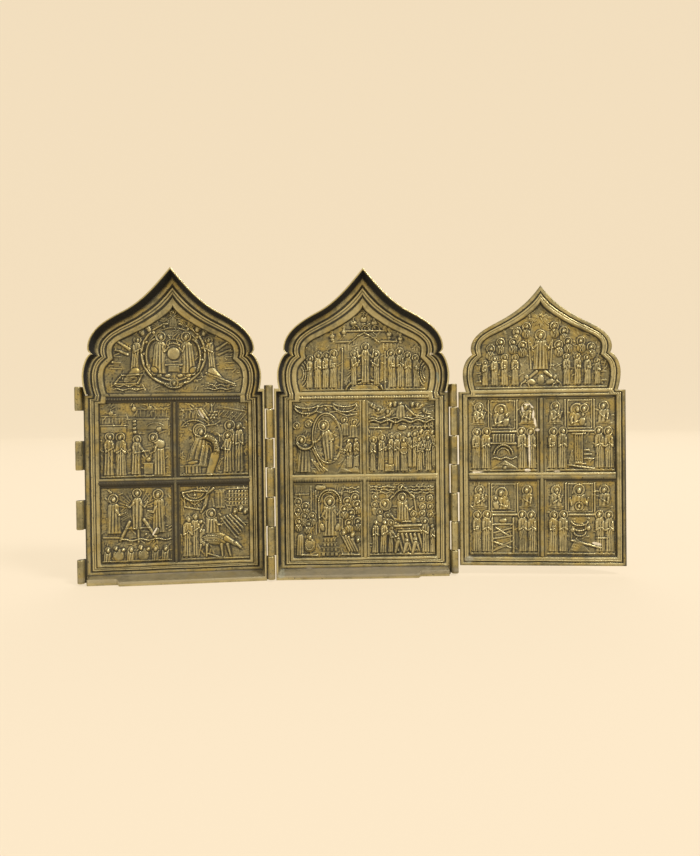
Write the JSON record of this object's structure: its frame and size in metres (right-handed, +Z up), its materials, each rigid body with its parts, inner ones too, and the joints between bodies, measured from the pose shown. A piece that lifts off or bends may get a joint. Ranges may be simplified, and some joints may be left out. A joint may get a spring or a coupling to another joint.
{
  "type": "folding cast brass triptych icon",
  "caption": "Folding cast brass icon of gable-topped relief leaves joined by pinned hinges, standing with its wings swung slightly forward.",
  "frame": {"origin": "middle of the footprint at the base of the standing icon", "axes": "+X along the row of leaves to the viewer's right, +Z up, carved faces towards -Y"},
  "size_m": [0.3064, 0.0234, 0.174],
  "materials": {
    "leaf_brass": "cast brass, worn to dull gold on the high relief, dark brown patina in the recesses",
    "pin_brass": "aged brass wire, dull"
  },
  "bodies": {
    "middle": {"middle_leaf": "leaf_brass", "right_hinge_pin": "pin_brass"},
    "left": {"left_leaf": "leaf_brass", "left_hinge_pin": "pin_brass"},
    "right": {"right_leaf": "leaf_brass"}
  },
  "joints": [
    {"name": "left_hinge", "type": "hinge", "parent": "middle", "child": "left", "pos_m": [-0.04676, -0.00163, 0.0549], "axis": [0, 0, 1], "range_deg": [-30, 174]},
    {"name": "right_hinge", "type": "hinge", "parent": "middle", "child": "right", "pos_m": [0.05734, 0.00667, 0.0549], "axis": [0, 0, -1], "range_deg": [-54, 174]}
  ]
}
